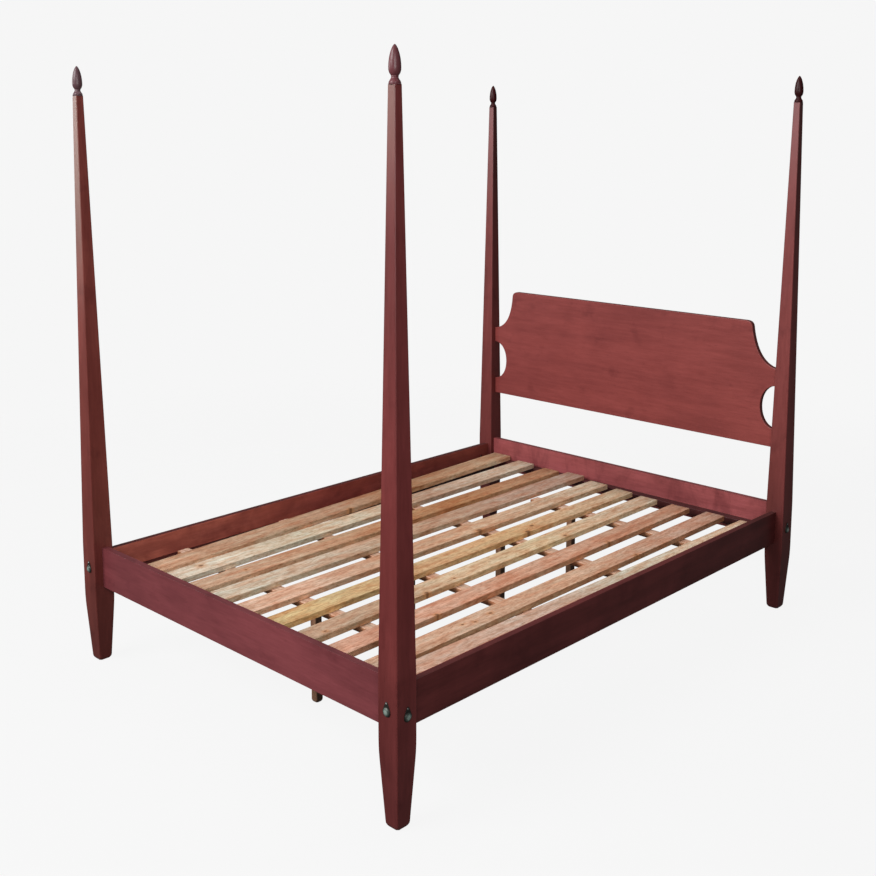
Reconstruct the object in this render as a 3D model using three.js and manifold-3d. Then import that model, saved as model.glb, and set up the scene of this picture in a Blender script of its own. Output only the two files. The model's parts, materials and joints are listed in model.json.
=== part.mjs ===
// Pencil post bed: four tapered posts, bolted rails, a shaped headboard and a slatted platform.
// Millimetres. +X runs across the bed, +Y from foot to head, +Z up from the floor.
import * as THREE from 'three';
import { mergeVertices } from 'three/addons/utils/BufferGeometryUtils.js';
import Module from 'manifold-3d';

const wasm = await Module();
wasm.setup();

// ---------- driving sizes ----------
const bedWidth = 1444; // between post axes, across
const bedLength = 1990; // between post axes, along
const gap = 0.3; // between pieces that touch

// posts
const postSide = 70.5;
const postTopSide = 25;
const postFootSide = 45;
const postHeight = 1881.5; // floor to the finial's seat
const postEase = 2; // flat on each long edge
const taperMargin = 4; // straight stretch above the tallest rail
const legTaperDrop = 17; // straight stretch below the lowest rail
const legBlend = 60; // height over which the leg's taper begins
const footRound = 12; // height of the worn rounding at the floor
const footInset = 4; // how far it draws in

// finials
const finialHeight = 92.5;
const bulbRadius = 15.4;
const neckRadius = 8.6;
const collarRadius = 15.6;
const dowelRadius = 6;
const dowelLength = 32;
const dowelClearance = 0.3;
const finialSides = 20;

// rails
const railThickness = 22;
const railInset = 6; // rail centre, inboard of the post axis
const footRailBottom = 262;
const footRailHeight = 136;
const sideRailBottom = 260;
const sideRailHeight = 119;
const headRailBottom = 269;
const headRailHeight = 136;
const tenonLength = 14;
const tenonThickness = 14;
const tenonShoulder = 10; // above and below each tenon

// bed bolts, nuts and covers
const endBoltHeight = 311; // in the head and foot rails
const sideBoltHeight = 325; // in the side rails, clear of the others
const boltRadius = 4.3;
const boltHoleRadius = 4.8;
const boltReach = 62; // from the post's inner face into the rail
const boltHeadRadius = 7;
const boltHeadHeight = 6;
const counterboreRadius = 8;
const counterboreDepth = 12;
const nutRadius = 8.6;
const nutThickness = 10;
const nutSetback = 45; // nut's middle from the post's inner face
const nutPocketHeight = 18;
const coverRadius = 13.5;
const coverLobeRadius = 5;
const coverDrop = 22; // from the screw to the middle of the dome
const coverThickness = 1.6;
const coverInset = 2; // inboard of the post axis
const domeRadius = 11.2;
const domeHeight = 5;
const screwHoleRadius = 2;

// headboard
const boardThickness = 20;
const boardSetback = 4; // board centre, behind the post axis
const boardBottom = 614.5;
const boardTop = 1080;
const boardTopHalfWidth = 588; // where the swept shoulder ends
const boardCornerRadius = 20;
const shoulderStart = 911.5; // where the sweep leaves the post
const upperEarHeight = 64;
const lowerEarHeight = 69;
const notchDepth = 65; // from the post's face
const earTenonDepth = 17;
const earTenonThickness = 12;
const earTenonShoulder = 8;

// slatted platform
const platformTop = 340; // top of the slats
const slatWidth = 80; // a usual board; each slat's width is a share of it
const slatThickness = 19;
const slatFootGap = 20; // slat end to foot rail
const slatHeadGap = 60; // slat end to head rail, about
const crossWidth = 44;
const crossThickness = 19;
const crossEndGap = 40; // cross slat end to side rail
const sideLedgerWidth = 44;
const sideLedgerThickness = 38;
const sideLedgerEndGap = 4; // ledger end to post
const endLedgerWidth = 40;
const endLedgerThickness = 24;
const endLedgerEndGap = 68; // clear of the nuts' pockets
const legDrift = 40; // legs stand about this far right of the middle
const legSide = 27;
const legFootInset = 4.5; // rounding at the leg's foot

// The slats are laid by hand, from left to right: each board's width and its end gap at the head as
// shares of the usual ones, and the gaps on its left, at foot and head, as shares of the free width.
const slats = [
  { width: 1.12, footShare: 106, headShare: 13, endShare: 0.05 },
  { width: 1.08, footShare: 21, headShare: 73, endShare: 0.5 },
  { width: 1.01, footShare: 42, headShare: 71, endShare: 0.75 },
  { width: 1.08, footShare: 32, headShare: 32, endShare: 0.4 },
  { width: 1.06, footShare: 54, headShare: 62, endShare: 1 },
  { width: 0.99, footShare: 62, headShare: 57, endShare: 1.3 },
  { width: 0.96, footShare: 66, headShare: 50, endShare: 1.5 },
  { width: 1, footShare: 58, headShare: 71, endShare: 1.6 },
  { width: 0.99, footShare: 68, headShare: 67, endShare: 1.4 },
  { width: 1.05, footShare: 11, headShare: 67, endShare: 1.4 },
];
const lastFootShare = 46; // gap on the right of the last slat
const lastHeadShare = 3;
// Cross slats: place along half the bed's length, skew in degrees, the leg's drift and, for a short
// one, where its left end is, as shares.
const crossSlats = [
  { along: -0.7, skew: 0.3, drift: 1.25 },
  { along: -0.27, skew: -1.4, drift: 0.88 },
  { along: 0.195, skew: -1.7, drift: 0.95 },
  { along: 0.613, skew: -1.5, drift: 1.05, leftShare: -0.226 },
];

// ---------- worked out from those ----------
const postHalf = postSide / 2;
const halfWidth = bedWidth / 2;
const halfLength = bedLength / 2;
const railInner = railInset + railThickness / 2; // inner face, inboard of the post axis
const innerHalfWidth = halfWidth - railInner;
const innerHalfLength = halfLength - railInner;
const tallestRailTop = Math.max(headRailBottom + headRailHeight, footRailBottom + footRailHeight);
const taperStart = tallestRailTop + taperMargin;
const legTaperTop = Math.min(sideRailBottom, footRailBottom, headRailBottom) - legTaperDrop;
const slatBottom = platformTop - slatThickness;
const crossTop = slatBottom - gap;
const crossBottom = crossTop - crossThickness;
const endLedgerTop = slatBottom - gap;
const sideLedgerTop = crossBottom - gap;

// ---------- materials ----------
const stained = { color: 0x7a3d3f, roughness: 0.55, metalness: 0 };
const pine = { color: 0xc9a27c, roughness: 0.75, metalness: 0 };
const steel = { color: 0x6d6f70, roughness: 0.4, metalness: 1 };
const agedBrass = { color: 0x7d7a62, roughness: 0.45, metalness: 0.9 };

// ---------- helpers ----------
const bed = new THREE.Group();

function addMesh(parent, name, geometry, finish) {
  const mesh = new THREE.Mesh(geometry, new THREE.MeshStandardMaterial(finish));
  mesh.name = name;
  parent.add(mesh);
  return mesh;
}

function toSolid(geometry) {
  const bare = geometry.clone();
  bare.deleteAttribute('normal');
  bare.deleteAttribute('uv');
  const merged = mergeVertices(bare, 1e-4);
  return new wasm.Manifold(new wasm.Mesh({
    numProp: 3,
    vertProperties: new Float32Array(merged.attributes.position.array),
    triVerts: new Uint32Array(merged.index.array),
  }));
}

function toGeometry(solid) {
  const { vertProperties, triVerts } = solid.getMesh();
  const geometry = new THREE.BufferGeometry();
  geometry.setAttribute('position', new THREE.BufferAttribute(new Float32Array(vertProperties), 3));
  geometry.setIndex(new THREE.BufferAttribute(new Uint32Array(triVerts), 1));
  geometry.computeVertexNormals();
  return geometry;
}

const cut = (geometry, cutters) => toGeometry(
  cutters.reduce((solid, cutter) => solid.subtract(toSolid(cutter)), toSolid(geometry)));
const join = (...geometries) => toGeometry(
  geometries.map(toSolid).reduce((solid, piece) => solid.add(piece)));

// Box between two corners, given in any order.
function boxBetween(x0, x1, y0, y1, z0, z1) {
  const box = new THREE.BoxGeometry(Math.abs(x1 - x0), Math.abs(y1 - y0), Math.abs(z1 - z0));
  return box.translate((x0 + x1) / 2, (y0 + y1) / 2, (z0 + z1) / 2);
}

function rodAlongX(radius, x0, x1, y, z, sides = 16) {
  const rod = new THREE.CylinderGeometry(radius, radius, Math.abs(x1 - x0), sides);
  return rod.rotateZ(Math.PI / 2).translate((x0 + x1) / 2, y, z);
}

function rodAlongY(radius, y0, y1, x, z, sides = 16) {
  const rod = new THREE.CylinderGeometry(radius, radius, Math.abs(y1 - y0), sides);
  return rod.translate(x, (y0 + y1) / 2, z);
}

// ---------- posts ----------
// Half the post's side at a height: flared leg, straight stretch at the rails, long upper taper.
function postHalfAt(z) {
  if (z > taperStart) {
    const t = (z - taperStart) / (postHeight - taperStart);
    return THREE.MathUtils.lerp(postHalf, postTopSide / 2, t);
  }
  const below = legTaperTop - z;
  if (below <= 0) return postHalf;
  const slope = (postHalf - postFootSide / 2) / (legTaperTop - legBlend / 2);
  const drop = below < legBlend ? slope * below ** 2 / (2 * legBlend) : slope * (below - legBlend / 2);
  return postHalf - drop;
}

// A square section with eased edges, as eight corners.
function easedSquare(half, ease, z) {
  const e = half - ease;
  return [[half, -e], [half, e], [e, half], [-e, half], [-half, e], [-half, -e], [-e, -half], [e, -half]]
    .map(([x, y]) => new THREE.Vector3(x, y, z));
}

// Closed solid through a stack of equal-sized rings.
function loft(rings) {
  const n = rings[0].length;
  const points = rings.flat();
  const index = [];
  for (let r = 0; r < rings.length - 1; r++) {
    for (let i = 0; i < n; i++) {
      const a = r * n + i;
      const b = r * n + (i + 1) % n;
      index.push(a, b, b + n, a, b + n, a + n);
    }
  }
  const top = (rings.length - 1) * n;
  for (let i = 1; i < n - 1; i++) {
    index.push(0, i + 1, i);
    index.push(top, top + i, top + i + 1);
  }
  const geometry = new THREE.BufferGeometry().setFromPoints(points);
  geometry.setIndex(index);
  return geometry;
}

// The foot is worn round: towards the floor each ring draws in and its corners are cut further.
function postBlank() {
  const foot = [0, 0.1, 0.3, 0.6].map((t) => {
    const z = t * footRound;
    const wear = footInset * (1 - t) ** 2 * (1 - t / 2);
    return easedSquare(postHalfAt(z) - wear, postEase + wear, z);
  });
  const blendSteps = [1, 2 / 3, 1 / 3, 0].map((t) => legTaperTop - legBlend * t);
  const heights = [footRound, ...blendSteps, taperStart, postHeight];
  return loft([...foot, ...heights.map((z) => easedSquare(postHalfAt(z), postEase, z))]);
}

// Mortise, bolt hole and counterbore for a rail that leaves along X; sideX and sideY are +1 or -1.
function endRailCutters(sideX, sideY, bottom, height) {
  const y = -sideY * railInset;
  const wide = tenonThickness / 2 + gap;
  const floor = -sideX * (postHalf - tenonLength);
  const seat = sideX * (postHalf - counterboreDepth);
  const outside = sideX * (postHalf + 1);
  return [
    boxBetween(floor, -outside, y - wide, y + wide,
      bottom + tenonShoulder - gap, bottom + height - tenonShoulder + gap),
    rodAlongX(boltHoleRadius, -outside, outside, y, endBoltHeight),
    rodAlongX(counterboreRadius, seat, outside, y, endBoltHeight, 20),
  ];
}

function sideRailCutters(sideX, sideY) {
  const x = -sideX * railInset;
  const wide = tenonThickness / 2 + gap;
  const floor = -sideY * (postHalf - tenonLength);
  const seat = sideY * (postHalf - counterboreDepth);
  const outside = sideY * (postHalf + 1);
  return [
    boxBetween(x - wide, x + wide, floor, -outside,
      sideRailBottom + tenonShoulder - gap, sideRailBottom + sideRailHeight - tenonShoulder + gap),
    rodAlongY(boltHoleRadius, -outside, outside, x, sideBoltHeight),
    rodAlongY(counterboreRadius, seat, outside, x, sideBoltHeight, 20),
  ];
}

// The two ears a side: [lowest, highest] of each ear at the post.
const ears = [
  [boardBottom, boardBottom + lowerEarHeight],
  [shoulderStart - upperEarHeight, shoulderStart],
];
const earTenonEnd = (ear) => postHalfAt(ear[0]) - earTenonDepth; // from the post axis

function earMortises(sideX) {
  const wide = earTenonThickness / 2 + gap;
  return ears.map((ear) => boxBetween(
    -sideX * (earTenonEnd(ear) - gap), -sideX * (postHalf + 1),
    boardSetback - wide, boardSetback + wide,
    ear[0] + earTenonShoulder - gap, ear[1] - earTenonShoulder + gap));
}

const dowelHole = () => new THREE.CylinderGeometry(
  dowelRadius + dowelClearance, dowelRadius + dowelClearance, dowelLength * 2 + 4, 16)
  .rotateX(Math.PI / 2).translate(0, 0, postHeight);

function addPost(name, sideX, sideY) {
  const atHead = sideY > 0;
  const bottom = atHead ? headRailBottom : footRailBottom;
  const height = atHead ? headRailHeight : footRailHeight;
  const cutters = [
    ...endRailCutters(sideX, sideY, bottom, height),
    ...sideRailCutters(sideX, sideY),
    ...(atHead ? earMortises(sideX) : []),
    dowelHole(),
  ];
  const post = addMesh(bed, `post_${name}`, cut(postBlank(), cutters), stained);
  post.position.set(sideX * halfWidth, sideY * halfLength, 0);
}

// ---------- finials ----------
// Dowel, scribed bead, flared collar, neck and pointed bulb, turned about one axis.
function finialGeometry() {
  const neckHeight = 17;
  const bulbStart = 20;
  const widest = 38;
  const profile = [
    [0, -dowelLength], [dowelRadius - 1, -dowelLength], [dowelRadius, 1 - dowelLength],
    [dowelRadius, 0], [collarRadius + 0.8, 0], [collarRadius + 0.8, 1.4], [collarRadius - 0.9, 2.2],
  ].map(([r, z]) => new THREE.Vector2(r, z));
  const flare = new THREE.CubicBezierCurve(
    new THREE.Vector2(collarRadius - 0.6, 3.4), new THREE.Vector2(collarRadius - 1.5, 9),
    new THREE.Vector2(neckRadius + 1.4, 11), new THREE.Vector2(neckRadius, neckHeight));
  const underBulb = new THREE.CubicBezierCurve(
    new THREE.Vector2(neckRadius + 0.3, bulbStart), new THREE.Vector2(neckRadius + 4, bulbStart + 4.5),
    new THREE.Vector2(bulbRadius, widest - 9), new THREE.Vector2(bulbRadius, widest));
  const overBulb = new THREE.CubicBezierCurve(
    new THREE.Vector2(bulbRadius, widest), new THREE.Vector2(bulbRadius, widest + 24),
    new THREE.Vector2(bulbRadius - 5.9, finialHeight - 9), new THREE.Vector2(1.6, finialHeight - 0.4));
  profile.push(...flare.getPoints(4), ...underBulb.getPoints(5), ...overBulb.getPoints(8).slice(1));
  profile.push(new THREE.Vector2(0, finialHeight));
  return new THREE.LatheGeometry(profile, finialSides).rotateX(Math.PI / 2);
}

function addFinial(name, sideX, sideY) {
  const finial = addMesh(bed, `finial_${name}`, finialGeometry(), stained);
  finial.position.set(sideX * halfWidth, sideY * halfLength, postHeight + gap);
}

// ---------- rails, ledgers, bolts, nuts and covers ----------
// Each side of the bed is a group: x along the rail, y outwards, origin midway between two post axes.
function railGeometry(span, bottom, height, boltHeight) {
  const shoulder = span / 2 - postHalf - gap;
  const half = railThickness / 2;
  const tenonEnd = shoulder + tenonLength;
  const blank = join(
    boxBetween(-shoulder, shoulder, -railInset - half, -railInset + half, bottom, bottom + height),
    boxBetween(-tenonEnd, tenonEnd, -railInset - tenonThickness / 2, -railInset + tenonThickness / 2,
      bottom + tenonShoulder, bottom + height - tenonShoulder));
  const pocketHalf = nutThickness / 2 + gap;
  const cutters = [-1, 1].flatMap((end) => {
    const nutX = end * (span / 2 - postHalf - nutSetback);
    const holeEnd = end * (span / 2 - postHalf - boltReach - 2);
    return [
      rodAlongX(boltHoleRadius, holeEnd, end * (tenonEnd + 1), -railInset, boltHeight),
      boxBetween(nutX - pocketHalf, nutX + pocketHalf, -railInset - half - 1, -railInset + nutRadius,
        boltHeight - nutPocketHeight / 2, boltHeight + nutPocketHeight / 2),
    ];
  });
  return cut(blank, cutters);
}

// Hex head in the counterbore, shank through the post and into the rail; end is +1 or -1.
function boltGeometry(span, boltHeight, end) {
  const seat = end * (span / 2 + postHalf - counterboreDepth + gap);
  const tip = end * (span / 2 - postHalf - boltReach);
  return join(
    rodAlongX(boltHeadRadius, seat, seat + end * boltHeadHeight, -railInset, boltHeight, 6),
    rodAlongX(boltRadius, tip, seat + end * boltHeadHeight / 2, -railInset, boltHeight));
}

function nutGeometry(span, boltHeight, end) {
  const middle = end * (span / 2 - postHalf - nutSetback);
  const half = nutThickness / 2;
  return cut(
    rodAlongX(nutRadius, middle - half, middle + half, -railInset, boltHeight, 6),
    [rodAlongX(boltRadius + gap, middle - half - 1, middle + half + 1, -railInset, boltHeight)]);
}

// Teardrop plate with a dome, hung from its screw hole at the origin, facing +x.
function coverGeometry() {
  const lean = Math.asin((coverRadius - coverLobeRadius) / coverDrop);
  const outline = new THREE.Shape();
  outline.absarc(0, 0, coverLobeRadius, lean, Math.PI - lean, false);
  outline.absarc(0, -coverDrop, coverRadius, Math.PI - lean, 2 * Math.PI + lean, false);
  const hole = new THREE.Path();
  hole.absarc(0, 0, screwHoleRadius, 0, 2 * Math.PI, true);
  outline.holes.push(hole);
  const plate = new THREE.ExtrudeGeometry(outline,
    { depth: coverThickness, bevelEnabled: false, curveSegments: 10 });
  const dome = new THREE.EllipseCurve(0, 0, domeRadius, domeHeight, 0, Math.PI / 2).getPoints(4);
  const cap = new THREE.LatheGeometry(
    [new THREE.Vector2(0, -coverThickness / 2), new THREE.Vector2(domeRadius, -coverThickness / 2),
      ...dome.slice(0, -1), new THREE.Vector2(0, domeHeight)], 16)
    .rotateX(Math.PI / 2).translate(0, -coverDrop, coverThickness);
  const faceX = new THREE.Matrix4().makeBasis(
    new THREE.Vector3(0, 1, 0), new THREE.Vector3(0, 0, 1), new THREE.Vector3(1, 0, 0));
  return join(plate, cap).applyMatrix4(faceX);
}

function addSide({ name, span, distance, turn, bottom, height, boltHeight, ledger }) {
  const side = new THREE.Group();
  side.rotation.z = turn;
  side.position.set(-Math.sin(turn) * distance, Math.cos(turn) * distance, 0);
  bed.add(side);
  addMesh(side, `${name}_rail`, railGeometry(span, bottom, height, boltHeight), stained);
  const ledgerHalf = span / 2 - postHalf - ledger.endGap;
  const ledgerOuter = -railInner - gap;
  addMesh(side, `${name}_ledger`, boxBetween(-ledgerHalf, ledgerHalf,
    ledgerOuter - ledger.width, ledgerOuter, ledger.top - ledger.thickness, ledger.top), stained);
  for (const [end, tag] of [[-1, 'a'], [1, 'b']]) {
    addMesh(side, `${name}_bolt_${tag}`, boltGeometry(span, boltHeight, end), steel);
    addMesh(side, `${name}_nut_${tag}`, nutGeometry(span, boltHeight, end), steel);
    const cover = addMesh(side, `${name}_cover_${tag}`, coverGeometry(), agedBrass);
    cover.position.set(end * (span / 2 + postHalf + gap), -coverInset, boltHeight + coverDrop);
    if (end < 0) cover.rotation.z = Math.PI;
  }
}

// ---------- headboard ----------
// The board's edge against a post follows the post's taper.
const boardEdge = (z) => halfWidth - postHalfAt(z) - gap;

function headboardGeometry() {
  const [lower, upper] = ears;
  const notchMiddle = (lower[1] + upper[0]) / 2;
  const notchHalf = (upper[0] - lower[1]) / 2;
  const notchApex = boardEdge(notchMiddle) - notchDepth;
  const sweepTop = boardTop - boardCornerRadius;
  // Right-hand edge from the bottom up.
  const edge = new THREE.CurvePath();
  const to = (x, z) => new THREE.Vector2(x, z);
  edge.add(new THREE.LineCurve(to(boardEdge(lower[0]), lower[0]), to(boardEdge(lower[1]), lower[1])));
  edge.add(new THREE.CubicBezierCurve(
    to(boardEdge(lower[1]), lower[1]), to(notchApex + 0.42 * notchDepth, lower[1]),
    to(notchApex, notchMiddle - 0.58 * notchHalf), to(notchApex, notchMiddle)));
  edge.add(new THREE.CubicBezierCurve(
    to(notchApex, notchMiddle), to(notchApex, notchMiddle + 0.58 * notchHalf),
    to(notchApex + 0.42 * notchDepth, upper[0]), to(boardEdge(upper[0]), upper[0])));
  edge.add(new THREE.LineCurve(to(boardEdge(upper[0]), upper[0]), to(boardEdge(upper[1]), upper[1])));
  edge.add(new THREE.CubicBezierCurve(
    to(boardEdge(upper[1]), upper[1]), to(boardEdge(upper[1]) - 55, upper[1] + 5),
    to(boardTopHalfWidth + 11, sweepTop - 84), to(boardTopHalfWidth, sweepTop)));
  edge.add(new THREE.CubicBezierCurve(
    to(boardTopHalfWidth, sweepTop), to(boardTopHalfWidth - 2.5, boardTop - 0.4 * boardCornerRadius),
    to(boardTopHalfWidth - 0.5 * boardCornerRadius, boardTop),
    to(boardTopHalfWidth - 1.5 * boardCornerRadius, boardTop)));
  const right = edge.curves.flatMap((curve, i) => {
    const steps = curve.isLineCurve ? 1 : 9;
    return curve.getPoints(steps).slice(i === 0 ? 0 : 1);
  });
  const left = right.map((p) => to(-p.x, p.y)).reverse();
  const board = new THREE.ExtrudeGeometry(new THREE.Shape([...right, ...left]),
    { depth: boardThickness, bevelEnabled: false });
  board.rotateX(Math.PI / 2).translate(0, boardThickness / 2, 0);
  const tenons = ears.flatMap((ear) => [-1, 1].map((side) => boxBetween(
    side * (boardEdge(ear[0]) - 20), side * (halfWidth - earTenonEnd(ear)),
    -earTenonThickness / 2, earTenonThickness / 2,
    ear[0] + earTenonShoulder, ear[1] - earTenonShoulder)));
  return join(board, ...tenons);
}

function addHeadboard() {
  const board = addMesh(bed, 'headboard', headboardGeometry(), stained);
  board.position.set(0, halfLength + boardSetback, 0);
}

// ---------- slatted platform ----------
// Slat middles across the bed, from the left posts' inner faces to the right-hand rail.
function slatMiddles(shareName, lastShare) {
  const leftEdge = postHalf - halfWidth;
  const boards = slats.reduce((sum, slat) => sum + slat.width * slatWidth, 0);
  const shares = slats.reduce((sum, slat) => sum + slat[shareName], lastShare);
  const gapPerShare = (innerHalfWidth - leftEdge - boards) / shares;
  let x = leftEdge;
  return slats.map((slat) => {
    x += slat[shareName] * gapPerShare + slat.width * slatWidth;
    return x - slat.width * slatWidth / 2;
  });
}

function addSlats() {
  const footMiddles = slatMiddles('footShare', lastFootShare);
  const headMiddles = slatMiddles('headShare', lastHeadShare);
  slats.forEach(({ width, endShare }, i) => {
    const footY = -innerHalfLength + slatFootGap;
    const headY = innerHalfLength - endShare * slatHeadGap;
    const drift = headMiddles[i] - footMiddles[i];
    const length = headY - footY;
    const board = addMesh(bed, `slat_${i + 1}`,
      new THREE.BoxGeometry(width * slatWidth, length, slatThickness), pine);
    board.position.set(footMiddles[i] + drift / 2, footY + length / 2, slatBottom + slatThickness / 2);
    board.rotation.z = -Math.atan2(drift, length);
  });
}

// Square leg with an eased, rounded foot; its top meets a cross slat.
function supportLegGeometry() {
  const half = legSide / 2;
  const levels = [[0, legFootInset], [1.5, legFootInset * 0.55], [5, legFootInset * 0.15], [9, 0],
    [crossBottom - gap, 0]];
  return loft(levels.map(([z, inset]) => easedSquare(half - inset, 2.5 + inset * 0.6, z)));
}

function addCrossSlats() {
  crossSlats.forEach(({ along, skew, drift, leftShare = -1 }, i) => {
    const turn = THREE.MathUtils.degToRad(skew);
    const right = innerHalfWidth - crossEndGap;
    const left = leftShare * right;
    const middle = (left + right) / 2;
    const y = (x) => along * halfLength + Math.tan(turn) * x;
    const slat = addMesh(bed, `cross_slat_${i + 1}`,
      new THREE.BoxGeometry(right - left, crossWidth, crossThickness), pine);
    slat.position.set(middle, y(middle), crossBottom + crossThickness / 2);
    slat.rotation.z = turn;
    const leg = addMesh(bed, `support_leg_${i + 1}`, supportLegGeometry(), pine);
    leg.position.set(drift * legDrift, y(drift * legDrift), 0);
  });
}

// ---------- the bed ----------
for (const [end, sideY] of [['foot', -1], ['head', 1]]) {
  for (const [hand, sideX] of [['left', -1], ['right', 1]]) {
    addPost(`${end}_${hand}`, sideX, sideY);
    addFinial(`${end}_${hand}`, sideX, sideY);
  }
}
addHeadboard();
const endLedger = { top: endLedgerTop, width: endLedgerWidth, thickness: endLedgerThickness,
  endGap: endLedgerEndGap };
const sideLedger = { top: sideLedgerTop, width: sideLedgerWidth, thickness: sideLedgerThickness,
  endGap: sideLedgerEndGap };
const endRail = { span: bedWidth, distance: halfLength, boltHeight: endBoltHeight, ledger: endLedger };
const sideRail = { span: bedLength, distance: halfWidth, bottom: sideRailBottom,
  height: sideRailHeight, boltHeight: sideBoltHeight, ledger: sideLedger };
addSide({ name: 'head', turn: 0, bottom: headRailBottom, height: headRailHeight, ...endRail });
addSide({ name: 'foot', turn: Math.PI, bottom: footRailBottom, height: footRailHeight, ...endRail });
addSide({ name: 'left', turn: Math.PI / 2, ...sideRail });
addSide({ name: 'right', turn: -Math.PI / 2, ...sideRail });
addSlats();
addCrossSlats();

export default bed;
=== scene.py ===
# %% [markdown]
# # A pencil post bed
# The bed is a stained hardwood frame with four tapered posts, a shaped headboard and a platform of
# bare pine slats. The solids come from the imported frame; this notebook gives them their finish,
# their rounded edges and the small things that solids leave out, such as screws and scribed lines.

# %% Load the frame
import json
import bmesh
import bpy
import numpy as np
from mathutils import Matrix, Vector


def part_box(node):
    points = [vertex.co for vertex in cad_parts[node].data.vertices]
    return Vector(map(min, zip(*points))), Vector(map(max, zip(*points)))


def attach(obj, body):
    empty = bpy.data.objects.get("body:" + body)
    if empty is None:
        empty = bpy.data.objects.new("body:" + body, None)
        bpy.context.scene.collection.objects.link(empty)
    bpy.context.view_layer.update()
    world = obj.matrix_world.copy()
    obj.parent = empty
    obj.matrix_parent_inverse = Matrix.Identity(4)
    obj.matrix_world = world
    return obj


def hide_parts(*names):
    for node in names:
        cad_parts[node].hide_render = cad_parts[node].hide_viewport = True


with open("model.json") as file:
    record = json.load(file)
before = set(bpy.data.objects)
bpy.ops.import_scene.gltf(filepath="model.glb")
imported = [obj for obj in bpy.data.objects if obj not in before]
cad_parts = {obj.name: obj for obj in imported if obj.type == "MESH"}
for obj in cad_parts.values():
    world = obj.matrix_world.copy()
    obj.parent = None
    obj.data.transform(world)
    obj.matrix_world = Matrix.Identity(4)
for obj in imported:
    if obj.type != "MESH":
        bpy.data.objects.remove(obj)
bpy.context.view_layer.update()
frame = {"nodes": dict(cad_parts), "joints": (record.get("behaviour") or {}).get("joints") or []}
MM = 0.001  # a millimetre in metres


# %% [markdown]
# ## Helpers for meshes
# Every new surface is a grid: rows are rings along the piece, columns go round it. One function
# joins neighbouring rings with quads, another closes the two ends, and a third hands the arrays
# to Blender. A last one gives the piece its material and hangs it on its body.

# %% Grids, caps and new pieces
def corners(node):
    """Lowest and highest corner of a solid as arrays, in metres."""
    low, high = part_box(node)
    return np.array(low), np.array(high)


def ring_faces(rings, count):
    """Quads between neighbouring closed rings of `count` points. Point c of ring r has the number
    r * count + c, and a quad takes points c and c + 1 of one ring and the same two of the next."""
    r, c = np.meshgrid(np.arange(rings - 1), np.arange(count), indexing="ij")
    a = r * count + c
    b = r * count + (c + 1) % count
    return np.stack([a, b, b + count, a + count], -1).reshape(-1, 4).tolist()


def new_piece(name, points, faces, smooth=None):
    """A mesh object at the origin from points (n, 3) and faces; smooth has one flag per face."""
    mesh = bpy.data.meshes.new(name)
    mesh.from_pydata(np.asarray(points, float).reshape(-1, 3).tolist(), [], faces)
    if smooth is not None:
        mesh.polygons.foreach_set("use_smooth", smooth)
    mesh.validate()
    mesh.update()
    piece = bpy.data.objects.new(name, mesh)
    bpy.context.scene.collection.objects.link(piece)
    return piece


def closed_tube(name, rings):
    """Rings (n, m, 3) joined by smooth quads, with a flat face over each end."""
    n, m = rings.shape[:2]
    sides = ring_faces(n, m)
    ends = [list(range(m))[::-1], list(range((n - 1) * m, n * m))]
    return new_piece(name, rings, sides + ends, [True] * len(sides) + [False] * len(ends))


def dress(piece, material, body="frame", stands_for=None):
    """Material, body and the solid that the piece stands for."""
    piece.data.materials.clear()
    piece.data.materials.append(material)
    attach(piece, body)
    if stands_for:
        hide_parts(stands_for)
    return piece


print("3 rings of 8 points are joined by", len(ring_faces(3, 8)), "quads")


# %% [markdown]
# ## Helpers for materials
# All finishes are procedural. Nodes could be placed and linked one by one, but the links would hide
# what is computed. A small class keeps the tree readable: `add` makes a node with its settings, and
# a socket is passed on simply by naming it as an input of the next node.

# %% A readable node tree
COLOUR_A, COLOUR_B, COLOUR_RESULT = 6, 7, 2  # the numbers of a Mix node's colour sockets


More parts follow.
